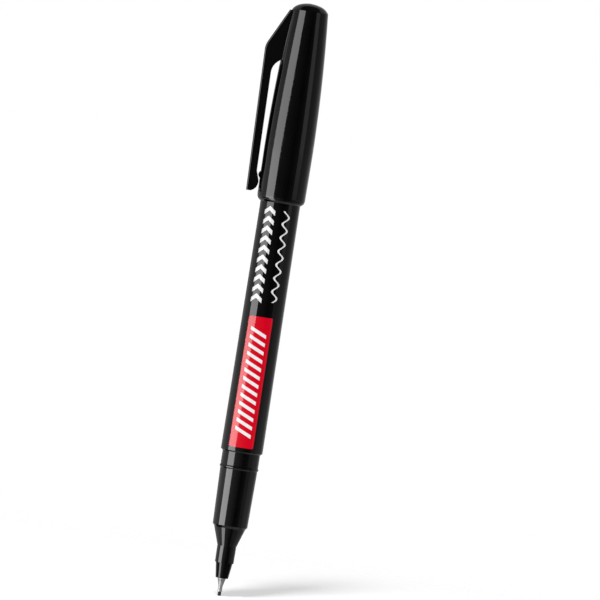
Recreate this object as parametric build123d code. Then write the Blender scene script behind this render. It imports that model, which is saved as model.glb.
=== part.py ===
"""Fineliner pen with its cap pushed onto the tail.

The pen stands along +Z with its writing point at the origin and its clip towards -X.
All sizes are in millimetres.
"""
import os
from math import asin, degrees, sqrt

from build123d import *

# Fits
press_clearance = 0.02
running_clearance = 0.04
liner_clearance = 0.05
seat_gap = 0.03

# Fibre nib
fibre_radius = 0.43
fibre_tip_round = 0.22
fibre_exposed = 1.03
fibre_dip = 8.0

# Metal nib sleeve
sleeve_wall = 0.1
sleeve_tube_length = 1.47
sleeve_cone_length = 2.0
sleeve_cone_radius = 1.08
sleeve_shank_radius = 0.8
sleeve_shank_length = 4.8

# Nib holder
holder_front_radius = 1.6
holder_step = 0.24
holder_cone_length = 3.9
holder_shank_radius = 1.6
holder_shank_length = 6.0

# Grip section
nose_front_radius = 2.375
nose_swell = 0.04
nose_length = 4.2
grip_cone_length = 4.6
grip_chamfer_depth = 0.46
grip_chamfer_length = 0.6
grip_taper = 0.31
grip_length = 14.23
grip_inset = 0.05
snap_ring_height = 0.16
snap_ring_width = 0.85
snap_ring_land = 0.3
collar_inset = 0.53
collar_length = 3.47
spigot_length = 10.0
spigot_lead = 0.4
feed_clearance = 0.25
chamber_setback = 6.0

# Ink reservoir and its film wrap
reservoir_slack = 0.31
reservoir_end_play = 0.3
wrap_thickness = 0.12

# Barrel
barrel_front_radius = 5.32
barrel_draft = 0.27
barrel_body_length = 64.6
barrel_wall = 0.95
barrel_edge = 0.3
neck_wall = 0.85
rib_count = 6
rib_width = 0.6
rib_setback = 1.0

# Tail plug
plug_head_thickness = 1.2
plug_head_edge = 0.4
plug_skirt_length = 9.5
plug_wall = 0.9
tail_gap = 0.6

# Cap
cap_length = 50.38
cap_lip_land = 0.12
cap_lip_height = 1.3
cap_mouth_wall = 0.92
cap_waist_swell = 0.105
cap_waist_height = 12.7
cap_shoulder_inset = 1.605
cap_dome_height = 1.99
cap_crown_radius = 2.75
cap_crown_drop = 0.5
cap_wall = 1.15
cap_roof = 1.4
cap_mouth_clearance = 0.08
cap_lead_in = 0.1
bead_rise = 1.5
bead_land = 0.85
snap_bite = 0.07
ring_clearance = 0.05
post_gap = 0.05

# Clip, one moulding with the cap
clip_width = 4.4
clip_edge_round = 0.44
clip_inner_round = 0.4
clip_seam_round = 0.15
clip_foot_rise = 2.05
clip_foot_land = 1.15
clip_foot_gap = 0.88
clip_foot_thickness = 1.96
clip_bump_rise = 3.1
clip_bump_length = 2.0
clip_bump_gap = 0.195
clip_root_gap = 1.2
clip_root_thickness = 2.44
clip_slot_drop = 6.55
clip_slot_round = 3.7
clip_knee_round = 4.5
clip_web_height = 9.6
clip_web_flat = 0.06
clip_root_sink = 0.6
clip_top_drop = 0.24

# Retaining bar under the clip
bar_height = 0.4
bar_length = 1.75
bar_width = 3.8
bar_rise = 6.38

# Inner cap
seal_lead = 1.05
seal_bite = 0.03
liner_wall = 0.8
liner_flange_thickness = 1.2
nib_air = 1.5

# Heights along the pen, from the writing point up
sleeve_front = fibre_exposed
sleeve_cone_front = sleeve_front + sleeve_tube_length
holder_front = sleeve_cone_front + sleeve_cone_length
nose_front = holder_front + holder_cone_length
nose_back = nose_front + nose_length
cone_back = nose_back + grip_cone_length
grip_front = cone_back + grip_chamfer_length
ring_front = grip_front + grip_length
ring_back = ring_front + snap_ring_width
barrel_front = ring_back + collar_length
spigot_back = barrel_front + spigot_length
chamber_floor = grip_front + chamber_setback
neck_front = barrel_front + barrel_body_length

# Radii that follow from the fits
sleeve_tube_radius = fibre_radius + press_clearance + sleeve_wall
feed_radius = fibre_radius + feed_clearance
holder_back_radius = nose_front_radius - holder_step
nose_back_radius = nose_front_radius + nose_swell
collar_radius = barrel_front_radius - collar_inset
snap_ring_radius = collar_radius + snap_ring_height
grip_back_radius = collar_radius - grip_inset
grip_front_radius = grip_back_radius - grip_taper
grip_cone_radius = grip_front_radius - grip_chamfer_depth
barrel_back_radius = barrel_front_radius - barrel_draft
bead_radius = snap_ring_radius - snap_bite
neck_radius = bead_radius - running_clearance
neck_bore = neck_radius - neck_wall
wrap_radius = neck_bore - reservoir_slack
wrap_bore = wrap_radius - wrap_thickness
reservoir_radius = wrap_bore - press_clearance
chamber_radius = wrap_radius + running_clearance
cap_mouth_bore = barrel_back_radius + cap_mouth_clearance
cap_bore = snap_ring_radius + ring_clearance
cap_lip_radius = cap_mouth_bore + cap_lead_in + cap_lip_land
cap_mouth_radius = cap_mouth_bore + cap_mouth_wall
cap_waist_radius = cap_mouth_radius + cap_waist_swell
cap_shoulder_radius = cap_waist_radius - cap_shoulder_inset
liner_bore = nose_back_radius - seal_bite
liner_radius = liner_bore + liner_wall
flange_radius = cap_bore - liner_clearance

# The posted cap stops where its snap bead meets the shoulder of the neck
cap_mouth = neck_front - bead_rise - cap_mouth_clearance + post_gap
cap_waist = cap_mouth + cap_waist_height
cap_top = cap_mouth + cap_length
cap_shoulder = cap_top - cap_dome_height

# The inner cap reaches the nose, and holds the point, when the cap is on the front
liner_mouth = cap_mouth + barrel_front - nose_back + seal_lead
liner_seat = liner_mouth + liner_flange_thickness + seat_gap
liner_floor = cap_mouth + barrel_front + nib_air
liner_top = liner_floor + liner_wall

# The tail ends just short of the inner cap
tail_top = liner_mouth - tail_gap
neck_back = tail_top - plug_head_thickness
plug_front = neck_back - plug_skirt_length
reservoir_back = plug_front - reservoir_end_play


def turned(*points):
    """Solid of revolution about the pen's axis from the (radius, height) corners of its half section."""
    outline = Polyline(*[(radius, 0, height) for radius, height in points], close=True)
    return revolve(make_face(outline), Axis.Z)


def barrel_radius(height):
    """Outer radius of the drafted barrel at a height."""
    return barrel_front_radius - barrel_draft * (height - barrel_front) / barrel_body_length


def barrel_bore(height):
    """Inner radius of the drafted barrel at a height."""
    return barrel_radius(height) - barrel_wall


def cap_radius(height):
    """Outer radius of the cap at a height on its arched side, above the waist."""
    rise = cap_shoulder - cap_waist
    inset = cap_waist_radius - cap_shoulder_radius
    arch = (rise**2 + inset**2) / (2 * inset)
    return cap_waist_radius - arch + sqrt(arch**2 - (height - cap_waist) ** 2)


def make_fibre_nib():
    """Fibre rod with a rounded writing point."""
    back = chamber_floor + fibre_dip
    flat = fibre_radius - fibre_tip_round
    tip = Line((0, 0, 0), (flat, 0, 0))
    bend = TangentArc((flat, 0, 0), (fibre_radius, 0, fibre_tip_round), tangent=(1, 0, 0))
    rest = Polyline((fibre_radius, 0, fibre_tip_round), (fibre_radius, 0, back), (0, 0, back), (0, 0, 0))
    return revolve(make_face([tip, bend, rest]), Axis.Z)


def make_nib_sleeve():
    """Metal needle tube, cone and shank around the fibre."""
    bore = fibre_radius + press_clearance
    shank_back = holder_front + sleeve_shank_length
    return turned(
        (bore, sleeve_front),
        (sleeve_tube_radius, sleeve_front),
        (sleeve_tube_radius, sleeve_cone_front),
        (sleeve_cone_radius, holder_front),
        (sleeve_shank_radius, holder_front),
        (sleeve_shank_radius, shank_back),
        (bore, shank_back),
    )


def make_nib_holder():
    """Insert with a cone in front and a shank pressed into the nose."""
    socket = sleeve_shank_radius + press_clearance
    socket_back = holder_front + sleeve_shank_length
    bore = fibre_radius + press_clearance
    shank_back = nose_front + holder_shank_length
    return turned(
        (socket, holder_front),
        (holder_front_radius, holder_front),
        (holder_back_radius, nose_front),
        (holder_shank_radius, nose_front),
        (holder_shank_radius, shank_back),
        (bore, shank_back),
        (bore, socket_back),
        (socket, socket_back),
    )


def make_grip_section():
    """Nose, cone, tapered grip, snap ring and collar, with a spigot for the barrel and a chamber behind."""
    socket = holder_shank_radius + press_clearance
    socket_back = nose_front + holder_shank_length
    ring_slope = (snap_ring_width - snap_ring_land) / 2
    spigot_front_radius = barrel_bore(barrel_front) - press_clearance
    spigot_end_radius = barrel_bore(spigot_back - spigot_lead) - press_clearance
    return turned(
        (socket, nose_front),
        (nose_front_radius, nose_front),
        (nose_back_radius, nose_back),
        (grip_cone_radius, cone_back),
        (grip_front_radius, grip_front),
        (grip_back_radius, ring_front),
        (snap_ring_radius, ring_front + ring_slope),
        (snap_ring_radius, ring_back - ring_slope),
        (collar_radius, ring_back),
        (collar_radius, barrel_front),
        (spigot_front_radius, barrel_front),
        (spigot_end_radius, spigot_back - spigot_lead),
        (spigot_end_radius - spigot_lead / 2, spigot_back),
        (chamber_radius, spigot_back),
        (chamber_radius, chamber_floor),
        (feed_radius, chamber_floor),
        (feed_radius, socket_back),
        (socket, socket_back),
    )


def make_ink_reservoir():
    """Fibre rod that stores the ink, bored at its front for the nib."""
    bore = fibre_radius + press_clearance
    bore_back = chamber_floor + fibre_dip
    return turned(
        (bore, chamber_floor),
        (reservoir_radius, chamber_floor),
        (reservoir_radius, reservoir_back),
        (0, reservoir_back),
        (0, bore_back),
        (bore, bore_back),
    )


def make_reservoir_wrap():
    """Film sleeve around the reservoir."""
    return turned(
        (wrap_bore, chamber_floor),
        (wrap_radius, chamber_floor),
        (wrap_radius, reservoir_back),
        (wrap_bore, reservoir_back),
    )


def make_barrel():
    """Drafted tube with ribs that hold the reservoir, and a narrower neck that takes the cap."""
    shoulder = barrel_back_radius - neck_radius
    bore_step = barrel_bore(neck_front) - neck_bore
    tube = turned(
        (barrel_bore(barrel_front), barrel_front),
        (barrel_front_radius - barrel_edge, barrel_front),
        (barrel_radius(barrel_front + barrel_edge), barrel_front + barrel_edge),
        (barrel_back_radius, neck_front),
        (neck_radius, neck_front + shoulder),
        (neck_radius, neck_back),
        (neck_bore, neck_back),
        (neck_bore, neck_front + bore_step),
        (barrel_bore(neck_front), neck_front),
    )
    rib_front = spigot_back + rib_setback
    rib_depth = barrel_radius(rib_front) - barrel_wall / 2 - chamber_radius
    rib_length = neck_front - rib_front
    rib_place = Pos(chamber_radius + rib_depth / 2, 0, rib_front + rib_length / 2)
    rib = rib_place * Box(rib_depth, rib_width, rib_length)
    ribs = [Rot(0, 0, 360 * number / rib_count) * rib for number in range(rib_count)]
    core = turned(
        (0, rib_front),
        (barrel_radius(rib_front) - barrel_wall / 2, rib_front),
        (barrel_radius(neck_front) - barrel_wall / 2, neck_front),
        (0, neck_front),
    )
    return tube + [rib & core for rib in ribs]


def make_tail_plug():
    """Hollow plug pressed into the neck, with a head as wide as the neck."""
    skirt = neck_bore - press_clearance
    hollow = skirt - plug_wall
    return turned(
        (hollow, plug_front),
        (skirt, plug_front),
        (skirt, neck_back),
        (neck_radius, neck_back),
        (neck_radius, tail_top - plug_head_edge),
        (neck_radius - plug_head_edge, tail_top),
        (0, tail_top),
        (0, neck_back),
        (hollow, neck_back),
    )


def make_inner_cap():
    """Cup that closes on the nose, with a flange seated in the cap."""
    return turned(
        (liner_bore, liner_mouth),
        (flange_radius, liner_mouth),
        (flange_radius, liner_mouth + liner_flange_thickness),
        (liner_radius, liner_mouth + liner_flange_thickness),
        (liner_radius, liner_top),
        (0, liner_top),
        (0, liner_floor),
        (liner_bore, liner_floor),
    )


def make_cap_blank():
    """Outside of the cap: rounded lip, arched side, and a flattened dome with a crisp edge."""
    lip_top = cap_mouth + cap_lip_height
    floor = Line((0, 0, cap_mouth), (cap_lip_radius, 0, cap_mouth))
    lip = TangentArc((cap_mouth_radius, 0, lip_top), (cap_lip_radius, 0, cap_mouth), tangent=(0, 0, -1))
    skirt = Line((cap_mouth_radius, 0, lip_top), (cap_waist_radius, 0, cap_waist))
    side = TangentArc((cap_waist_radius, 0, cap_waist), (cap_shoulder_radius, 0, cap_shoulder), tangent=(0, 0, 1))
    crown = TangentArc((0, 0, cap_top), (cap_crown_radius, 0, cap_top - cap_crown_drop), tangent=(1, 0, 0))
    rim = TangentArc(crown @ 1, (cap_shoulder_radius, 0, cap_shoulder), tangent=crown % 1)
    middle = Line((0, 0, cap_top), (0, 0, cap_mouth))
    return revolve(make_face([floor, lip, skirt, side, rim, crown, middle]), Axis.Z)


def make_cap_cavity():
    """Inside of the cap: mouth, snap bead, bore for the neck, seat of the inner cap, and tapered core above."""
    bead_bottom = cap_mouth + bead_rise
    bead_front = bead_bottom + cap_mouth_bore - bead_radius
    bead_back = bead_front + bead_land
    bead_top = bead_back + cap_bore - bead_radius
    core_radius = cap_radius(liner_seat) - cap_wall
    core_end_radius = cap_shoulder_radius - cap_wall
    core_end = cap_shoulder - cap_roof / 3
    wall = Polyline(
        (0, 0, cap_mouth),
        (cap_mouth_bore + cap_lead_in, 0, cap_mouth),
        (cap_mouth_bore, 0, cap_mouth + cap_lead_in),
        (cap_mouth_bore, 0, bead_bottom),
        (bead_radius, 0, bead_front),
        (bead_radius, 0, bead_back),
        (cap_bore, 0, bead_top),
        (cap_bore, 0, liner_seat),
        (core_radius, 0, liner_seat),
        (core_end_radius, 0, core_end),
    )
    roof = TangentArc((0, 0, cap_top - cap_roof), (core_end_radius, 0, core_end), tangent=(1, 0, 0))
    middle = Line((0, 0, cap_top - cap_roof), (0, 0, cap_mouth))
    return revolve(make_face([wall, roof, middle]), Axis.Z)


def nearest_edge(edges, x, z):
    """The edge that passes nearest to a point of the clip's profile."""
    return min(edges, key=lambda edge: edge.distance_to((x, 0, z)))


def clip_side_edges(solid, x, z):
    """The two edges, one on each flat side of the clip, that pass nearest to a point of its profile."""
    edges = solid.edges()
    sides = [edges.filter_by_position(Axis.Y, side, side) for side in (clip_width / 2, -clip_width / 2)]
    return [nearest_edge(side, x, z) for side in sides]


def make_clip():
    """Clip from its web on the shoulder, over the knee and down the arm to the bump above the foot."""
    top = cap_shoulder - clip_top_drop
    knee = top - clip_web_height
    slot = knee - clip_slot_drop
    foot = cap_mouth + clip_foot_rise
    bump = foot + clip_bump_rise
    arm_start = bump + clip_bump_length
    inner_root = cap_waist_radius + clip_root_gap
    inner_foot = cap_waist_radius + clip_foot_gap
    outer_root = inner_root + clip_root_thickness
    outer_foot = inner_foot + clip_foot_thickness
    bump_start = cap_waist_radius + clip_bump_gap
    web_edge = cap_shoulder_radius + clip_web_flat + clip_edge_round
    roof_end = inner_root - clip_slot_round
    hold = roof_end - clip_root_sink
    roof = slot + clip_slot_round
    outline = Polyline(
        (-roof_end, 0, roof),
        (-hold, 0, roof),
        (-hold, 0, top),
        (-web_edge, 0, top),
        (-outer_root, 0, knee),
        (-outer_foot, 0, foot),
        (clip_foot_land - outer_foot, 0, foot),
    )
    lead = (inner_foot - bump_start, 0, bump - arm_start)
    bulge = TangentArc((-bump_start, 0, bump), (clip_foot_land - outer_foot, 0, foot), tangent=lead)
    arm = Polyline((-bump_start, 0, bump), (-inner_foot, 0, arm_start), (-inner_root, 0, slot))
    slot_roof = TangentArc((-inner_root, 0, slot), (-roof_end, 0, roof), tangent=(0, 0, 1))
    clip = extrude(make_face([outline, bulge, arm, slot_roof]), clip_width / 2, dir=(0, 1, 0), both=True)
    clip = fillet(nearest_edge(clip.edges().filter_by(Axis.Y), -outer_root, knee), clip_knee_round)
    outer_middle = -(outer_root + outer_foot) / 2
    clip = fillet(clip_side_edges(clip, outer_middle, (knee + foot) / 2), clip_edge_round)
    inner_middle = -(inner_root + inner_foot) / 2
    return fillet(clip_side_edges(clip, inner_middle, (slot + arm_start) / 2), clip_inner_round)


def make_retaining_bar():
    """Low bar on the cap, behind the clip's foot, that keeps cloth from slipping out."""
    middle = cap_mouth + bar_rise
    half = bar_length / 2
    root = cap_waist_radius - cap_wall / 2
    back = Polyline((root, 0, middle + half), (root, 0, middle - half), (cap_waist_radius, 0, middle - half))
    crown = ThreePointArc(
        (cap_waist_radius, 0, middle - half),
        (cap_waist_radius + bar_height, 0, middle),
        (cap_waist_radius, 0, middle + half),
    )
    closing = Line((cap_waist_radius, 0, middle + half), (root, 0, middle + half))
    sweep = 2 * degrees(asin(bar_width / 2 / cap_waist_radius))
    bar = revolve(make_face([back, crown, closing]), Axis.Z, sweep)
    return Rot(0, 0, 180 - sweep / 2) * bar


def make_cap_shell():
    """Cap with its clip blended into its side and its retaining bar, hollowed from the mouth."""
    cap = make_cap_blank() + make_clip()
    seam_height = cap_shoulder - clip_web_height / 2
    seam_place = -sqrt(cap_radius(seam_height) ** 2 - clip_width**2 / 4)
    cap = fillet(clip_side_edges(cap, seam_place, seam_height), clip_seam_round)
    return cap + make_retaining_bar() - make_cap_cavity()


makers = {
    "fibre_nib": make_fibre_nib,
    "nib_sleeve": make_nib_sleeve,
    "nib_holder": make_nib_holder,
    "grip_section": make_grip_section,
    "ink_reservoir": make_ink_reservoir,
    "reservoir_wrap": make_reservoir_wrap,
    "barrel": make_barrel,
    "tail_plug": make_tail_plug,
    "cap_shell": make_cap_shell,
    "inner_cap": make_inner_cap,
}

os.makedirs("parts", exist_ok=True)
for node, maker in makers.items():
    export_step(maker(), f"parts/{node}.step")
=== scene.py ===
"""Fineliner pen that stands on its writing point, with its cap pushed onto the tail."""
import logging
import math
from abc import ABC, abstractmethod
from dataclasses import dataclass
from enum import Enum
from functools import cache

import bmesh
import bpy
from mathutils import Matrix, Vector

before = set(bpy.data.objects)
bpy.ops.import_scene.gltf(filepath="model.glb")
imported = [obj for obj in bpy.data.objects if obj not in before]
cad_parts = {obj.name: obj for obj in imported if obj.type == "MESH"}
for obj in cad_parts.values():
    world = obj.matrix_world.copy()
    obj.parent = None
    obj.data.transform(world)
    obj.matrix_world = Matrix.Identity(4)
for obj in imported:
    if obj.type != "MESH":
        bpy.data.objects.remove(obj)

log = logging.getLogger("fineliner")
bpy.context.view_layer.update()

Colour = tuple[float, float, float]
Span = tuple[float, float]
Socket = bpy.types.NodeSocket
Feed = Socket | float | tuple[float, ...]

UNIT: Span = (0.0, 1.0)
MILLIMETRES_PER_METRE = 1000.0
WHITE: Colour = (1.0, 1.0, 1.0)
DEEP_BLACK: Colour = (0.0015, 0.0015, 0.0016)
HAZY_BLACK: Colour = (0.0024, 0.0024, 0.0025)
SATIN_BLACK: Colour = (0.003, 0.003, 0.0031)


class Ease(Enum):
    """How a mapped value moves between the ends of its range."""

    STRAIGHT = "LINEAR"
    SMOOTH = "SMOOTHSTEP"


class Detail(Enum):
    """How many finer layers a noise has."""

    PLAIN = 2.0
    FINE = 3.0
    FINEST = 4.0


class Blend(Enum):
    """What a Mix node mixes: its data type, the first of its two inputs and its output."""

    NUMBERS = ("FLOAT", 2, 0)
    COLOURS = ("RGBA", 6, 2)


class Graph:
    """Adds nodes to one node tree and links them."""

    def __init__(self, tree: bpy.types.NodeTree) -> None:
        """Keep the tree that gets the nodes."""
        self.tree = tree

    def add(self, kind: str, **settings: object) -> bpy.types.Node:
        """Add a node.

        Args:
            kind: The node's type name in Blender.
            **settings: Properties to set on the node.

        Returns:
            The new node.
        """
        node = self.tree.nodes.new(kind)
        for name, value in settings.items():
            setattr(node, name, value)
        return node

    def feed(self, socket: Socket, value: Feed) -> None:
        """Link a socket to an output, or set its plain value.

        Args:
            socket: The input socket.
            value: An output socket, a number or a tuple.
        """
        if isinstance(value, Socket):
            self.tree.links.new(value, socket)
        else:
            socket.default_value = value

    def place(self, group: bpy.types.NodeTree, values: dict[str, Feed]) -> bpy.types.NodeOutputs:
        """Place a node group.

        Args:
            group: The node group.
            values: What its inputs get, by name.

        Returns:
            The outputs of the group's node.
        """
        node = self.add("ShaderNodeGroup", node_tree=group)
        for label, value in values.items():
            self.feed(node.inputs[label], value)
        return node.outputs

    def math(self, operation: str, *terms: Feed, clamp: bool = False) -> Socket:
        """Add a Math node.

        Args:
            operation: The node's operation.
            *terms: Sockets or numbers for its inputs, in order.
            clamp: Whether the result is held between 0 and 1.

        Returns:
            The node's output.
        """
        node = self.add("ShaderNodeMath", operation=operation, use_clamp=clamp)
        for socket, term in zip(node.inputs, terms):
            self.feed(socket, term)
        return node.outputs[0]

    def ramp(self, value: Socket, span: Span, results: tuple[Feed, Feed] = UNIT,
             ease: Ease = Ease.SMOOTH) -> Socket:
        """Map a value from one range to another.

        Args:
            value: The value to map.
            span: Start and end of its range.
            results: The results at the start and the end.
            ease: How the result moves between them.

        Returns:
            The mapped value.
        """
        node = self.add("ShaderNodeMapRange", interpolation_type=ease.value)
        for socket, term in zip(node.inputs, (value, *span, *results)):
            self.feed(socket, term)
        return node.outputs[0]

    def mix(self, kind: Blend, mask: Socket, first: Feed, second: Feed) -> Socket:
        """Mix two numbers or colours.

        Args:
            kind: What is mixed.
            mask: The share of the second one.
            first: What stands where the mask is 0.
            second: What stands where the mask is 1.

        Returns:
            The mixed number or colour.
        """
        data_type, start, result = kind.value
        node = self.add("ShaderNodeMix", data_type=data_type)
        self.feed(node.inputs[0], mask)
        self.feed(node.inputs[start], first)
        self.feed(node.inputs[start + 1], second)
        return node.outputs[result]

    def where(self) -> Socket:
        """Object coordinates."""
        return self.add("ShaderNodeTexCoord").outputs["Object"]

    def split(self, vector: Socket) -> bpy.types.NodeOutputs:
        """Split a vector.

        Args:
            vector: The vector.

        Returns:
            Its X, Y and Z, by name.
        """
        node = self.add("ShaderNodeSeparateXYZ")
        self.feed(node.inputs[0], vector)
        return node.outputs

    def length(self, vector: Socket) -> Socket:
        """Measure a vector.

        Args:
            vector: The vector.

        Returns:
            Its length.
        """
        node = self.add("ShaderNodeVectorMath", operation="LENGTH")
        self.feed(node.inputs[0], vector)
        return node.outputs["Value"]

    def noise(self, vector: Socket, scale: Feed, detail: Detail) -> Socket:
        """Add a Noise texture.

        Args:
            vector: Where the texture is read.
            scale: Its scale.
            detail: Its number of finer layers.

        Returns:
            The texture's value.
        """
        node = self.add("ShaderNodeTexNoise")
        self.feed(node.inputs["Vector"], vector)
        self.feed(node.inputs["Scale"], scale)
        self.feed(node.inputs["Detail"], detail.value)
        return node.outputs["Fac"]

    def stretched(self, vector: Socket, factor: float) -> Socket:
        """Scale coordinates along the pen.

        Args:
            vector: The coordinates.
            factor: What their Z is multiplied by.

        Returns:
            The scaled coordinates.
        """
        node = self.add("ShaderNodeMapping")
        self.feed(node.inputs["Vector"], vector)
        self.feed(node.inputs["Scale"], (1.0, 1.0, factor))
        return node.outputs[0]

    def away(self, value: Socket, middle: Feed) -> Socket:
        """Distance of a value from a middle."""
        return self.math("ABSOLUTE", self.math("SUBTRACT", value, middle))

    def inside(self, distance: Socket, limit: float, edge: float) -> Socket:
        """Mask of what is nearer than a limit. The edge is half the width of its soft border."""
        return self.ramp(distance, (limit - edge, limit + edge), (1.0, 0.0))

    def both(self, first: Socket, second: Socket) -> Socket:
        """Mask of what is in two masks."""
        return self.math("MULTIPLY", first, second)

    def either(self, first: Socket, second: Socket) -> Socket:
        """Mask of what is in one mask or the other."""
        return self.math("MAXIMUM", first, second)


def rgba(colour: Colour) -> tuple[float, float, float, float]:
    """A colour with full alpha."""
    return (*colour, 1.0)


def new_material(name: str) -> tuple[bpy.types.Material, Graph, bpy.types.Node]:
    """Begin a material.

    Args:
        name: The material's name.

    Returns:
        The material, its graph and its Principled shader.
    """
    material = bpy.data.materials.new(name)
    material.use_nodes = True
    return material, Graph(material.node_tree), material.node_tree.nodes["Principled BSDF"]


class Effect:
    """Node group that finishes share, with a Vector and numbers as inputs, and numbers as outputs."""

    @staticmethod
    def start(name: str, values: tuple[str, ...],
              results: tuple[str, ...]) -> tuple[Graph, bpy.types.NodeOutputs, bpy.types.NodeInputs]:
        """Begin the group with its sockets.

        Args:
            name: The group's name.
            values: Names of its number inputs.
            results: Names of its outputs.

        Returns:
            The group's graph, what it is given, and where its results go.
        """
        tree = bpy.data.node_groups.new(name, "ShaderNodeTree")
        tree.interface.new_socket("Vector", in_out="INPUT", socket_type="NodeSocketVector")
        for label in values:
            tree.interface.new_socket(label, in_out="INPUT", socket_type="NodeSocketFloat")
        for label in results:
            tree.interface.new_socket(label, in_out="OUTPUT", socket_type="NodeSocketFloat")
        graph = Graph(tree)
        return graph, graph.add("NodeGroupInput").outputs, graph.add("NodeGroupOutput").inputs


@dataclass(frozen=True)
class MouldedSkin(Effect):
    """Skin of an injection moulding: faint orange peel, cloudy gloss and rubbed patches.

    A span gives the values of a noise between which its mask goes from 0 to 1.
    """

    cloud_scale: float = 140.0
    cloud_span: Span = (0.35, 0.7)
    cloud_share: float = 0.7
    rub_stretch: float = 0.06
    rub_scale: float = 2600.0
    rub_span: Span = (0.55, 0.8)
    rub_share: float = 0.3

    @cache
    def build(self) -> bpy.types.NodeTree:
        """Make the group, once.

        Returns:
            The node group, with outputs Roughness, Height and Haze.
        """
        graph, given, result = self.start(
            "moulded_skin", ("Grain Scale", "Low", "High"), ("Roughness", "Height", "Haze"))
        where = given["Vector"]
        peel = graph.noise(where, given["Grain Scale"], Detail.FINE)
        cloud = graph.ramp(graph.noise(where, self.cloud_scale, Detail.FINEST), self.cloud_span)
        streaks = graph.noise(graph.stretched(where, self.rub_stretch), self.rub_scale, Detail.PLAIN)
        rub = graph.ramp(streaks, self.rub_span)
        haze = graph.math("ADD", graph.math("MULTIPLY", cloud, self.cloud_share),
                          graph.math("MULTIPLY", rub, self.rub_share), clamp=True)
        roughness = graph.ramp(haze, UNIT, (given["Low"], given["High"]), Ease.STRAIGHT)
        graph.feed(result["Roughness"], roughness)
        graph.feed(result["Height"], peel)
        graph.feed(result["Haze"], haze)
        return graph.tree


@dataclass(frozen=True)
class Strands(Effect):
    """Fibres that run along the pen. The tone changes more slowly than the strands do."""

    stretch: float = 0.05
    tone_share: float = 0.2
    tone_span: Span = (0.35, 0.65)

    @cache
    def build(self) -> bpy.types.NodeTree:
        """Make the group, once.

        Returns:
            The node group, with outputs Height and Tone.
        """
        graph, given, result = self.start("strands", ("Scale",), ("Height", "Tone"))
        where = given["Vector"]
        height = graph.noise(graph.stretched(where, self.stretch), given["Scale"], Detail.PLAIN)
        tone_scale = graph.math("MULTIPLY", given["Scale"], self.tone_share)
        tone = graph.ramp(graph.noise(where, tone_scale, Detail.FINE), self.tone_span)
        graph.feed(result["Height"], height)
        graph.feed(result["Tone"], tone)
        return graph.tree


@dataclass(frozen=True)
class Finish(ABC):
    """What every finish has: a name and two tones of its base colour."""

    name: str
    dark: Colour
    light: Colour

    def build(self) -> bpy.types.Material:
        """Make the material.

        Returns:
            The material.
        """
        material, graph, shader = new_material(self.name)
        self.paint(graph, shader, graph.where())
        return material

    @abstractmethod
    def paint(self, graph: Graph, shader: bpy.types.Node, where: Socket) -> None:
        """Feed the shader.

        Args:
            graph: The material's graph.
            shader: Its Principled shader.
            where: The Object coordinates.
        """

    def tone(self, graph: Graph, mask: Socket) -> Socket:
        """Base colour, dark where the mask is 0 and light where it is 1."""
        return graph.mix(Blend.COLOURS, mask, rgba(self.dark), rgba(self.light))

    @staticmethod
    def bump(graph: Graph, shader: bpy.types.Node, height: Socket, depth: float) -> None:
        """Give the shader a bumpy normal.

        Args:
            graph: The material's graph.
            shader: The Principled shader.
            height: The height's socket.
            depth: Distance in metres that a height of 1 stands for.
        """
        node = graph.add("ShaderNodeBump")
        graph.feed(node.inputs["Distance"], depth)
        graph.feed(node.inputs["Height"], height)
        graph.feed(shader.inputs["Normal"], node.outputs[0])


@dataclass(frozen=True)
class MouldedPlastic(Finish):
    """Plastic straight from a polished or satin mould. The gloss gives its least and its most roughness."""

    gloss: Span = (0.06, 0.12)
    grain_scale: float = 1500.0
    grain_depth: float = 0.000002

    def skin(self, graph: Graph, where: Socket) -> bpy.types.NodeOutputs:
        """Place the mould's skin.

        Args:
            graph: The material's graph.
            where: The Object coordinates.

        Returns:
            The outputs Roughness, Height and Haze.
        """
        low, high = self.gloss
        values = {"Vector": where, "Grain Scale": self.grain_scale, "Low": low, "High": high}
        return graph.place(MouldedSkin().build(), values)

    def paint(self, graph: Graph, shader: bpy.types.Node, where: Socket) -> None:
        """Feed the shader.

        Args:
            graph: The material's graph.
            shader: Its Principled shader.
            where: The Object coordinates.
        """
        skin = self.skin(graph, where)
        graph.feed(shader.inputs["Base Color"], self.tone(graph, skin["Haze"]))
        graph.feed(shader.inputs["Roughness"], skin["Roughness"])
        self.bump(graph, shader, skin["Height"], self.grain_depth)


@dataclass(frozen=True)
class Sheet:
    """The barrel's wall, unrolled to be printed on. Sizes are in millimetres.

    Across is the distance around the barrel from the middle of its front, along is the height above the
    writing point, and edge is half the width of a soft edge.
    """

    graph: Graph
    across: Socket
    along: Socket
    edge: float

    def rounded_box(self, middle: Span, half: Span, corner: float) -> Socket:
        """Draw a filled rectangle with round corners.

        Args:
            middle: The rectangle's middle.
            half: Half its two sizes.
            corner: Radius of its corners.

        Returns:
            The rectangle's mask.
        """
        graph = self.graph
        reach = graph.add("ShaderNodeCombineXYZ")
        for socket, value, centre, size in zip(reach.inputs, (self.across, self.along), middle, half):
            beyond = graph.math("SUBTRACT", graph.away(value, centre), size - corner)
            graph.feed(socket, graph.math("MAXIMUM", beyond, 0.0))
        return graph.inside(graph.length(reach.outputs[0]), corner, self.edge)

    def stripes(self, height: Socket, start: float, pitch: float, count: int, share: float) -> Socket:
        """Draw a row of stripes, each in the middle of its pitch.

        Args:
            height: The coordinate that the stripes follow.
            start: Where the row starts.
            pitch: Distance from one stripe to the next.
            count: Number of stripes.
            share: Part of the pitch that a stripe fills.

        Returns:
            The row's mask.
        """
        graph, soft = self.graph, self.edge / pitch
        number = graph.math("DIVIDE", graph.math("SUBTRACT", height, start), pitch)
        stripe = graph.inside(graph.away(graph.math("FRACT", number), 1 / 2), share / 2, soft)
        row = graph.inside(graph.away(number, count / 2), count / 2, soft)
        return graph.both(stripe, row)


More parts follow.
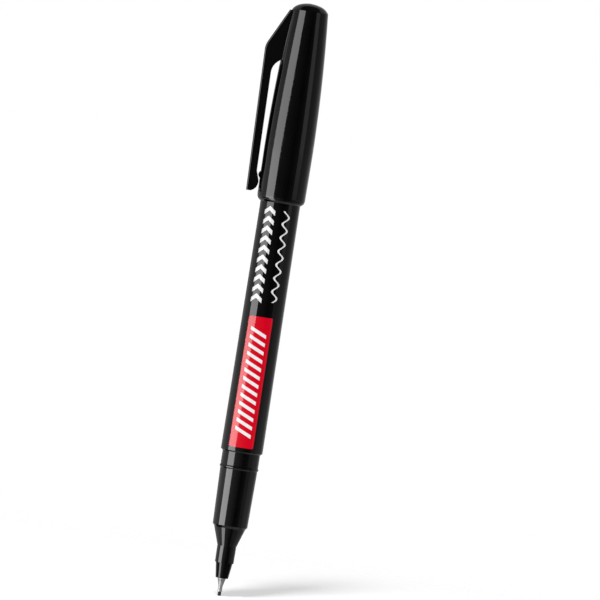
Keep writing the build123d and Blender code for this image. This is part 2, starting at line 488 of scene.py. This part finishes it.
@dataclass(frozen=True)
class Panel:
    """Filled panel with a row of slanted white bars. Sizes are in millimetres on the barrel."""

    middle: Span = (-0.39, 54.2)
    half: Span = (3.22, 16.5)
    corner: float = 0.4
    bars: int = 13
    bar_pitch: float = 2.1
    bar_share: float = 0.42
    bar_half: float = 2.1
    bar_slant: float = 0.45

    def masks(self, sheet: Sheet) -> tuple[Socket, Socket]:
        """Draw the panel.

        Args:
            sheet: What it is printed on.

        Returns:
            The masks of the filled panel and of its bars.
        """
        graph = sheet.graph
        fill = sheet.rounded_box(self.middle, self.half, self.corner)
        slant = graph.math("MULTIPLY", graph.math("SUBTRACT", sheet.across, self.middle[0]), self.bar_slant)
        height = graph.math("ADD", sheet.along, slant)
        start = self.middle[1] - self.bars * self.bar_pitch / 2
        bars = sheet.stripes(height, start, self.bar_pitch, self.bars, self.bar_share)
        band = graph.inside(graph.away(sheet.across, self.middle[0]), self.bar_half, sheet.edge)
        return fill, graph.both(graph.both(bars, band), fill)


@dataclass(frozen=True)
class Chevrons:
    """Row of bold chevrons that point along the barrel. Sizes are in millimetres on the barrel."""

    middle: float = -2.43
    half: float = 1.55
    start: float = 74.6
    pitch: float = 2.45
    count: int = 10
    share: float = 0.46
    slope: float = 0.75

    def mask(self, sheet: Sheet) -> Socket:
        """Draw the row.

        Args:
            sheet: What it is printed on.

        Returns:
            The row's mask.
        """
        graph = sheet.graph
        side = graph.away(sheet.across, self.middle)
        height = graph.math("ADD", sheet.along, graph.math("MULTIPLY", side, self.slope))
        row = sheet.stripes(height, self.start, self.pitch, self.count, self.share)
        return graph.both(row, graph.inside(side, self.half, sheet.edge))


@dataclass(frozen=True)
class Wave:
    """Thin wavy line along the barrel. Sizes are in millimetres on the barrel."""

    middle: float = 2.2
    swing: float = 0.75
    length: float = 3.4
    half_width: float = 0.26
    ends: Span = (74.6, 97.6)

    def mask(self, sheet: Sheet) -> Socket:
        """Draw the line.

        Args:
            sheet: What it is printed on.

        Returns:
            The line's mask.
        """
        graph = sheet.graph
        turn = graph.math("SINE", graph.math("MULTIPLY", sheet.along, 2 * math.pi / self.length))
        line = graph.math("ADD", graph.math("MULTIPLY", turn, self.swing), self.middle)
        stroke = graph.inside(graph.away(sheet.across, line), self.half_width, sheet.edge)
        half = (self.ends[1] - self.ends[0]) / 2
        row = graph.inside(graph.away(sheet.along, self.ends[0] + half), half, sheet.edge)
        return graph.both(stroke, row)


@dataclass(frozen=True)
class PrintedPlastic(MouldedPlastic):
    """Plastic from a polished mould with a pad print in two inks.

    The print's radius and edge are in millimetres, and the depth of the ink is in metres.
    """

    red: Colour = (0.66, 0.001, 0.015)
    deep_red: Colour = (0.61, 0.001, 0.013)
    white: Colour = (0.86, 0.86, 0.86)
    grey_white: Colour = (0.78, 0.78, 0.78)
    ink_gloss: Span = (0.08, 0.14)
    ink_scale: float = 1200.0
    ink_span: Span = (0.3, 0.7)
    ink_depth: float = 0.000006
    print_radius: float = 5.2
    print_edge: float = 0.05
    panel: Panel = Panel()
    chevrons: Chevrons = Chevrons()
    wave: Wave = Wave()

    def unroll(self, graph: Graph, where: Socket) -> Sheet:
        """Unroll the barrel's wall.

        Args:
            graph: The material's graph.
            where: The Object coordinates.

        Returns:
            The sheet to print on.
        """
        place = graph.split(where)
        turn = graph.math("ARCTAN2", place["X"], graph.math("MULTIPLY", place["Y"], -1.0))
        across = graph.math("MULTIPLY", turn, self.print_radius)
        along = graph.math("MULTIPLY", place["Z"], MILLIMETRES_PER_METRE)
        return Sheet(graph, across, along, self.print_edge)

    def paint(self, graph: Graph, shader: bpy.types.Node, where: Socket) -> None:
        """Feed the shader.

        Args:
            graph: The material's graph.
            shader: Its Principled shader.
            where: The Object coordinates.
        """
        skin = self.skin(graph, where)
        sheet = self.unroll(graph, where)
        fill, bars = self.panel.masks(sheet)
        marks = graph.either(graph.either(self.chevrons.mask(sheet), self.wave.mask(sheet)), bars)
        density = graph.ramp(graph.noise(where, self.ink_scale, Detail.FINE), self.ink_span)
        colour = self.tone(graph, skin["Haze"])
        for mask, thin, thick in ((fill, self.red, self.deep_red), (marks, self.white, self.grey_white)):
            ink = graph.mix(Blend.COLOURS, density, rgba(thin), rgba(thick))
            colour = graph.mix(Blend.COLOURS, mask, colour, ink)
        graph.feed(shader.inputs["Base Color"], colour)
        printed = graph.either(fill, marks)
        inked = graph.ramp(skin["Haze"], UNIT, self.ink_gloss)
        roughness = graph.mix(Blend.NUMBERS, printed, skin["Roughness"], inked)
        graph.feed(shader.inputs["Roughness"], roughness)
        film = graph.math("MULTIPLY", printed, self.ink_depth / self.grain_depth)
        self.bump(graph, shader, graph.math("ADD", film, skin["Height"]), self.grain_depth)


@dataclass(frozen=True)
class TurnedSteel(Finish):
    """Thin steel with the rings that a lathe leaves. The gloss gives its least and its most roughness."""

    gloss: Span = (0.42, 0.55)
    metallic: float = 0.6
    ring_stretch: float = 60.0
    ring_scale: float = 400.0
    ring_span: Span = (0.3, 0.7)
    ring_depth: float = 0.000004
    stain_scale: float = 900.0
    stain_span: Span = (0.4, 0.7)

    def paint(self, graph: Graph, shader: bpy.types.Node, where: Socket) -> None:
        """Feed the shader.

        Args:
            graph: The material's graph.
            shader: Its Principled shader.
            where: The Object coordinates.
        """
        rings = graph.noise(graph.stretched(where, self.ring_stretch), self.ring_scale, Detail.FINE)
        stain = graph.ramp(graph.noise(where, self.stain_scale, Detail.FINE), self.stain_span, (1.0, 0.0))
        graph.feed(shader.inputs["Base Color"], self.tone(graph, stain))
        graph.feed(shader.inputs["Roughness"], graph.ramp(rings, self.ring_span, self.gloss))
        graph.feed(shader.inputs["Metallic"], self.metallic)
        self.bump(graph, shader, rings, self.ring_depth)


@dataclass(frozen=True)
class BondedFibre(Finish):
    """Bundle of fine fibres, wet with ink."""

    strand_scale: float = 9000.0
    strand_depth: float = 0.00003
    roughness: Span = (0.55, 0.8)

    def paint(self, graph: Graph, shader: bpy.types.Node, where: Socket) -> None:
        """Feed the shader.

        Args:
            graph: The material's graph.
            shader: Its Principled shader.
            where: The Object coordinates.
        """
        strands = graph.place(Strands().build(), {"Vector": where, "Scale": self.strand_scale})
        graph.feed(shader.inputs["Base Color"], self.tone(graph, strands["Tone"]))
        graph.feed(shader.inputs["Roughness"], graph.ramp(strands["Tone"], UNIT, self.roughness))
        self.bump(graph, shader, strands["Height"], self.strand_depth)


def disc(radius: float, height: float, segments: int) -> bmesh.types.BMesh:
    """Make a level disc round the pen's axis.

    Args:
        radius: Its radius.
        height: How high it lies.
        segments: Number of its sides.

    Returns:
        The disc's mesh.
    """
    mesh = bmesh.new()
    bmesh.ops.create_circle(mesh, cap_ends=True, segments=segments, radius=radius)
    bmesh.ops.translate(mesh, verts=mesh.verts, vec=(0, 0, height))
    return mesh


def stage_object(name: str, mesh: bmesh.types.BMesh, material: bpy.types.Material) -> bpy.types.Object:
    """Turn a bmesh into a stage object.

    Args:
        name: The object's name.
        mesh: The bmesh, which is freed.
        material: The object's material.

    Returns:
        The object, marked as stage.
    """
    data = bpy.data.meshes.new(name)
    mesh.to_mesh(data)
    mesh.free()
    data.materials.append(material)
    item = bpy.data.objects.new(name, data)
    bpy.context.scene.collection.objects.link(item)
    return item


@dataclass(frozen=True, kw_only=True)
class Screen(ABC):
    """Glowing thing around the pen that only its gloss shows."""

    name: str

    @abstractmethod
    def shape(self) -> bmesh.types.BMesh:
        """Make the screen's mesh."""

    @abstractmethod
    def brightness(self, graph: Graph) -> Feed:
        """How bright the screen is: a number, or a socket where that changes over the screen."""

    def build(self) -> bpy.types.Object:
        """Make the screen and hide it from everything but reflections.

        Returns:
            The screen's object.
        """
        material = bpy.data.materials.new(self.name)
        material.use_nodes = True
        material.node_tree.nodes.clear()
        graph = Graph(material.node_tree)
        glow = graph.add("ShaderNodeEmission")
        graph.feed(glow.inputs["Strength"], self.brightness(graph))
        graph.feed(graph.add("ShaderNodeOutputMaterial").inputs["Surface"], glow.outputs[0])
        screen = stage_object(self.name, self.shape(), material)
        for ray in ("camera", "diffuse", "transmission", "volume_scatter", "shadow"):
            setattr(screen, f"visible_{ray}", False)
        return screen


@dataclass(frozen=True)
class Rise:
    """How a card's brightness changes upwards: two heights and the share of it at each of them."""

    heights: Span
    shares: Span
    ease: Ease = Ease.SMOOTH


@dataclass(frozen=True)
class Lean:
    """How far a card is turned, in degrees, from one height to another."""

    heights: Span
    turn: float


@dataclass(frozen=True, kw_only=True)
class Card(Screen):
    """Upright curved card. Lengths are in metres.

    Angles are in degrees from the direction of the camera, towards the left of the photograph. The levels are
    the card's brightness at its start and at its end.
    """

    start: float
    end: float
    levels: Span
    rise: Rise | None = None
    lean: Lean | None = None
    radius: float = 0.8
    low: float = -1.1
    high: float = 0.5
    steps: int = 24

    def shape(self) -> bmesh.types.BMesh:
        """Spin the card's side round the pen's axis.

        Returns:
            The card's mesh.
        """
        mesh = bmesh.new()
        side = [(self.low, 0.0), (self.high, 0.0)]
        if self.lean is not None:
            lower, upper = self.lean.heights
            turn = self.lean.turn
            side = [(self.low, 0.0), (lower, 0.0), (upper, turn), (self.high, turn)]
        points = []
        for height, turn in side:
            place = Matrix.Rotation(math.radians(-self.start - turn), 3, "Z")
            points.append(mesh.verts.new(place @ Vector((0.0, -self.radius, height))))
        edges = [mesh.edges.new(pair) for pair in zip(points, points[1:])]
        bmesh.ops.spin(mesh, geom=[*points, *edges], cent=(0, 0, 0), axis=(0, 0, -1),
                       angle=math.radians(self.end - self.start), steps=self.steps)
        return mesh

    def brightness(self, graph: Graph) -> Feed:
        """Grade the card from its start to its end, and upwards.

        Args:
            graph: The material's graph.

        Returns:
            A number for a card of one brightness, and a socket for any other.
        """
        if self.rise is None and self.levels[0] == self.levels[1]:
            return self.levels[0]
        place = graph.split(graph.where())
        middle = math.radians(-(self.start + self.end) / 2)
        across = graph.math("ADD", graph.math("MULTIPLY", place["X"], math.cos(middle)),
                            graph.math("MULTIPLY", place["Y"], math.sin(middle)))
        half = self.radius * math.sin(math.radians(abs(self.end - self.start) / 2))
        level = graph.ramp(across, (half, -half), self.levels, Ease.STRAIGHT)
        if self.rise is None:
            return level
        share = graph.ramp(place["Z"], self.rise.heights, self.rise.shares, self.rise.ease)
        return graph.math("MULTIPLY", level, share)


@dataclass(frozen=True, kw_only=True)
class Lid(Screen):
    """Level round card that closes the ring of cards above or below."""

    height: float
    level: float
    radius: float = 0.82
    segments: int = 64

    def shape(self) -> bmesh.types.BMesh:
        """Make the lid's mesh."""
        return disc(self.radius, self.height, self.segments)

    def brightness(self, graph: Graph) -> Feed:
        """The same number all over."""
        return self.level


@dataclass(frozen=True)
class CardRing:
    """Cards all round the pen that shape its gloss. Radii and heights are in metres."""

    behind: float = 0.81
    before: float = 0.79
    flag_radius: float = 0.78
    flag_low: float = -0.32
    foot_high: float = -0.155
    ground: float = -1.1
    shoulder: float = 0.5
    ceiling: float = 1.3

    def left(self) -> list[Card]:
        """Cards on the left, with the softbox that makes the long bright streak.

        Returns:
            The cards.
        """
        return [
            Card(name="left_softbox", start=36.8, end=78.5, levels=(5.0, 5.0),
                 rise=Rise(heights=(-0.032, 0.123), shares=(1.36, 0.8), ease=Ease.STRAIGHT),
                 lean=Lean(heights=(0.1, 0.25), turn=-8.0)),
            Card(name="softbox_foot", start=36.8, end=66.0, levels=(5.0, 5.0),
                 radius=self.before, high=self.foot_high),
            Card(name="softbox_flag", start=66.0, end=80.0, levels=(0.55, 0.55),
                 radius=self.before, high=self.foot_high),
            Card(name="left_back_card", start=60.0, end=180.0, levels=(0.52, 0.58), radius=self.behind,
                 rise=Rise(heights=(-0.032, 0.3), shares=(1.08, 0.5), ease=Ease.STRAIGHT)),
        ]

    def front_and_right(self) -> list[Card]:
        """Dark cards on the side of the camera, and the dim ones on the right.

        Returns:
            The cards.
        """
        return [
            Card(name="front_left_card", start=-24.0, end=40.0, levels=(0.0, 0.128), radius=self.behind,
                 rise=Rise(heights=(-0.019, 0.072), shares=(2.8, 0.8))),
            Card(name="front_right_card", start=-53.0, end=-24.0, levels=(0.06, 0.0), radius=self.behind,
                 rise=Rise(heights=(-0.6, -0.4), shares=(4.0, 1.0))),
            Card(name="right_strip", start=-76.0, end=-53.0, levels=(0.42, 0.42),
                 rise=Rise(heights=(0.053, 0.111), shares=(0.45, 1.3)),
                 lean=Lean(heights=(0.1, 0.3), turn=8.0)),
            Card(name="right_card", start=-110.0, end=-66.0, levels=(0.24, 0.17), radius=self.behind,
                 rise=Rise(heights=(-0.025, 0.111), shares=(1.6, 0.85), ease=Ease.STRAIGHT)),
        ]

    def back(self) -> list[Card]:
        """Card behind the pen on the right, and the bright strip that lights the pen's outline.

        Returns:
            The cards.
        """
        return [
            Card(name="right_back_card", start=-180.0, end=-110.0, levels=(0.75, 0.25)),
            Card(name="back_strip", start=164.0, end=190.0, levels=(2.4, 2.4),
                 radius=self.before, high=0.09),
        ]

    def flags(self) -> list[Card]:
        """Flags that keep the slanted walls of the point dark.

        Returns:
            The cards.
        """
        return [
            Card(name="holder_flag_left", start=65.0, end=112.0, levels=(0.07, 0.07),
                 radius=self.flag_radius, low=self.flag_low, high=self.foot_high),
            Card(name="holder_flag_right", start=-112.0, end=-10.0, levels=(0.04, 0.04),
                 radius=self.flag_radius, low=self.flag_low, high=self.foot_high),
            Card(name="under_flag", start=95.0, end=150.0, levels=(0.0, 0.0),
                 radius=0.45, low=-1.09, high=-0.3),
        ]

    def ends(self) -> list[Screen]:
        """Cards above the ring and the lids that close it.

        Returns:
            The cards and lids.
        """
        return [
            Card(name="back_top_card", start=100.0, end=255.0, levels=(0.4, 0.4), low=self.shoulder,
                 high=self.ceiling, rise=Rise(heights=(0.5, 1.0), shares=(1.0, 0.9))),
            Card(name="front_top_card", start=-105.0, end=100.0, levels=(0.03, 0.03), low=self.shoulder,
                 high=self.ceiling),
            Lid(name="ceiling_card", height=self.ceiling, level=0.03),
            Lid(name="under_card", height=self.ground, level=0.5),
        ]

    def screens(self) -> list[Screen]:
        """All cards and lids, in order."""
        return [*self.left(), *self.front_and_right(), *self.back(), *self.flags(), *self.ends()]


@dataclass(frozen=True)
class Lamp:
    """Rectangular area lamp that makes the shadow on the floor and stays out of the gloss.

    Its angles are in degrees, the azimuth as for the cards, and its lengths in metres.
    """

    name: str = "key_box"
    azimuth: float = 14.5
    elevation: float = 50.0
    distance: float = 2.0
    size: Span = (0.19, 0.9)
    power: float = 36.0
    target: tuple[float, float, float] = (0.0, 0.0, 0.075)

    def build(self) -> bpy.types.Object:
        """Make the lamp.

        Returns:
            The lamp's object.
        """
        data = bpy.data.lights.new(self.name, "AREA")
        data.shape = "RECTANGLE"
        data.size, data.size_y = self.size
        data.energy = self.power
        lamp = bpy.data.objects.new(self.name, data)
        bpy.context.scene.collection.objects.link(lamp)
        turn, rise = math.radians(self.azimuth), math.radians(self.elevation)
        away = Vector((-math.sin(turn) * math.cos(rise), -math.cos(turn) * math.cos(rise), math.sin(rise)))
        lamp.location = Vector(self.target) + self.distance * away
        lamp.rotation_euler = away.to_track_quat("Z", "Y").to_euler()
        lamp.visible_camera = False
        lamp.visible_glossy = False
        return lamp


@dataclass(frozen=True)
class Floor:
    """Pale floor that thins out into the white background and is clear from below.

    The fade gives the distances from the pen where it starts to thin out and where it is gone.
    """

    name: str = "floor"
    material_name: str = "paper_floor"
    radius: float = 0.6
    segments: int = 96
    clearance: float = 0.00002
    tone: Colour = (0.6, 0.6, 0.6)
    roughness: float = 0.9
    specular: float = 0.0
    glow: float = 0.48
    fade: Span = (0.11, 0.25)

    def build(self) -> bpy.types.Object:
        """Make the floor.

        Returns:
            The floor's object.
        """
        material, graph, shader = new_material(self.material_name)
        settings = {
            "Base Color": rgba(self.tone),
            "Roughness": self.roughness,
            "Specular IOR Level": self.specular,
            "Emission Color": rgba(WHITE),
            "Emission Strength": self.glow,
        }
        for label, value in settings.items():
            graph.feed(shader.inputs[label], value)
        thinned = graph.ramp(graph.length(graph.where()), self.fade, (1.0, 0.0))
        under = graph.add("ShaderNodeNewGeometry").outputs["Backfacing"]
        graph.feed(shader.inputs["Alpha"], graph.both(thinned, graph.math("SUBTRACT", 1.0, under)))
        floor = stage_object(self.name, disc(self.radius, -self.clearance, self.segments), material)
        floor.visible_glossy = False
        return floor


@dataclass(frozen=True)
class WhiteRoom:
    """World that is white for the camera and for gloss and glass, and softer as fill light."""

    name: str = "white_room"
    fill: float = 0.3
    full: float = 1.0

    def build(self) -> bpy.types.World:
        """Make the world.

        Returns:
            The world.
        """
        world = bpy.data.worlds.new(self.name)
        bpy.context.scene.world = world
        world.use_nodes = True
        world.node_tree.nodes.clear()
        graph = Graph(world.node_tree)
        rays = graph.add("ShaderNodeLightPath").outputs
        seen = graph.either(rays["Is Camera Ray"], rays["Is Glossy Ray"])
        mix = graph.add("ShaderNodeMixShader")
        graph.feed(mix.inputs[0], graph.either(seen, rays["Is Transmission Ray"]))
        for socket, strength in zip(mix.inputs[1:], (self.fill, self.full)):
            white = graph.add("ShaderNodeBackground")
            graph.feed(white.inputs["Color"], rgba(WHITE))
            graph.feed(white.inputs["Strength"], strength)
            graph.feed(socket, white.outputs[0])
        graph.feed(graph.add("ShaderNodeOutputWorld").inputs["Surface"], mix.outputs[0])
        return world


@dataclass(frozen=True)
class Camera:
    """Camera that looks down a little and is rolled so that the pen leans to the right.

    Lengths are in metres, apart from the sensor's width in millimetres, and the roll is in degrees. The view
    height is what the picture takes in at the pen.
    """

    name: str = "camera"
    distance: float = 1.85
    height: float = 0.122
    aim_height: float = 0.07626
    side: float = 0.0086
    roll: float = 8.89
    view_height: float = 0.150
    sensor_width: float = 36.0
    clip_start: float = 0.01

    def build(self) -> bpy.types.Object:
        """Make the camera.

        Returns:
            The camera's object.
        """
        data = bpy.data.cameras.new(self.name)
        data.sensor_fit = "HORIZONTAL"
        data.sensor_width = self.sensor_width
        drop = self.height - self.aim_height
        data.lens = self.sensor_width * math.hypot(self.distance, drop) / self.view_height
        data.clip_start = self.clip_start
        camera = bpy.data.objects.new(self.name, data)
        bpy.context.scene.collection.objects.link(camera)
        place = Matrix.Translation((self.side, -self.distance, self.height))
        pitch = Matrix.Rotation(math.pi / 2 - math.atan2(drop, self.distance), 4, "X")
        camera.matrix_world = place @ pitch @ Matrix.Rotation(math.radians(self.roll), 4, "Z")
        bpy.context.scene.camera = camera
        return camera


@dataclass(frozen=True)
class Studio:
    """White studio: camera, world, floor, lamp and the cards that shape the gloss."""

    camera: Camera = Camera()
    room: WhiteRoom = WhiteRoom()
    floor: Floor = Floor()
    lamp: Lamp = Lamp()
    ring: CardRing = CardRing()

    def build(self) -> None:
        """Set up the whole studio."""
        bpy.context.scene.view_settings.view_transform = "Standard"
        for item in (self.camera, self.room, self.floor, self.lamp, *self.ring.screens()):
            log.info("studio: %s", item.build().name)


class SubAssembly:
    """A group of the pen's pieces that are dressed together."""

    def dress(self, node: str, finish: Finish) -> None:
        """Give one piece its finish.

        Args:
            node: The piece's node.
            finish: Its finish.
        """
        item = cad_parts[node]
        item.data.materials.clear()
        item.data.materials.append(finish.build())
        log.info("%s: %s", node, finish.name)


@dataclass
class WritingPoint(SubAssembly):
    """Fibre nib, its metal sleeve and the holder pressed into the nose."""

    fibre: Finish = BondedFibre("inked_fibre", (0.004, 0.004, 0.005), (0.016, 0.016, 0.018))
    steel: Finish = TurnedSteel("turned_steel", (0.3, 0.295, 0.29), (0.42, 0.415, 0.41))
    holder: Finish = MouldedPlastic("holder_gloss", DEEP_BLACK, SATIN_BLACK, gloss=(0.07, 0.14))

    def build(self) -> None:
        """Dress the point."""
        self.dress("fibre_nib", self.fibre)
        self.dress("nib_sleeve", self.steel)
        self.dress("nib_holder", self.holder)


@dataclass
class GripSection(SubAssembly):
    """Tapered grip with its nose, snap ring and collar."""

    plastic: Finish = MouldedPlastic("section_gloss", DEEP_BLACK, HAZY_BLACK)

    def build(self) -> None:
        """Dress the section."""
        self.dress("grip_section", self.plastic)


@dataclass
class Barrel(SubAssembly):
    """Printed body tube with its tail plug."""

    plastic: Finish = PrintedPlastic("barrel_gloss", DEEP_BLACK, HAZY_BLACK)
    plug: Finish = MouldedPlastic("plug_gloss", DEEP_BLACK, SATIN_BLACK, gloss=(0.1, 0.18))

    def build(self) -> None:
        """Dress the barrel and its plug."""
        self.dress("barrel", self.plastic)
        self.dress("tail_plug", self.plug)


@dataclass
class InkSupply(SubAssembly):
    """Fibre reservoir in its film, inside the barrel."""

    fibre: Finish = BondedFibre("inked_reservoir", (0.01, 0.01, 0.011), (0.04, 0.04, 0.045),
                                strand_scale=4000.0)
    film: Finish = MouldedPlastic("wrap_film", (0.6, 0.61, 0.63), (0.75, 0.76, 0.78))

    def build(self) -> None:
        """Dress the reservoir and its film."""
        self.dress("ink_reservoir", self.fibre)
        self.dress("reservoir_wrap", self.film)


@dataclass
class Cap(SubAssembly):
    """Cap moulded with its clip, and the liner in it."""

    plastic: Finish = MouldedPlastic("cap_gloss", DEEP_BLACK, HAZY_BLACK)
    liner: Finish = MouldedPlastic("liner_waxy", (0.6, 0.6, 0.58), (0.72, 0.72, 0.7), gloss=(0.4, 0.55))

    def build(self) -> None:
        """Dress the cap and its liner."""
        self.dress("cap_shell", self.plastic)
        self.dress("inner_cap", self.liner)


def main() -> None:
    """Build the studio and the pen."""
    Studio().build()
    for group in (WritingPoint(), GripSection(), Barrel(), InkSupply(), Cap()):
        log.info("sub-assembly: %s", type(group).__name__)
        group.build()


if __name__ == "__main__":
    logging.basicConfig(level=logging.INFO, format="%(message)s")
    main()
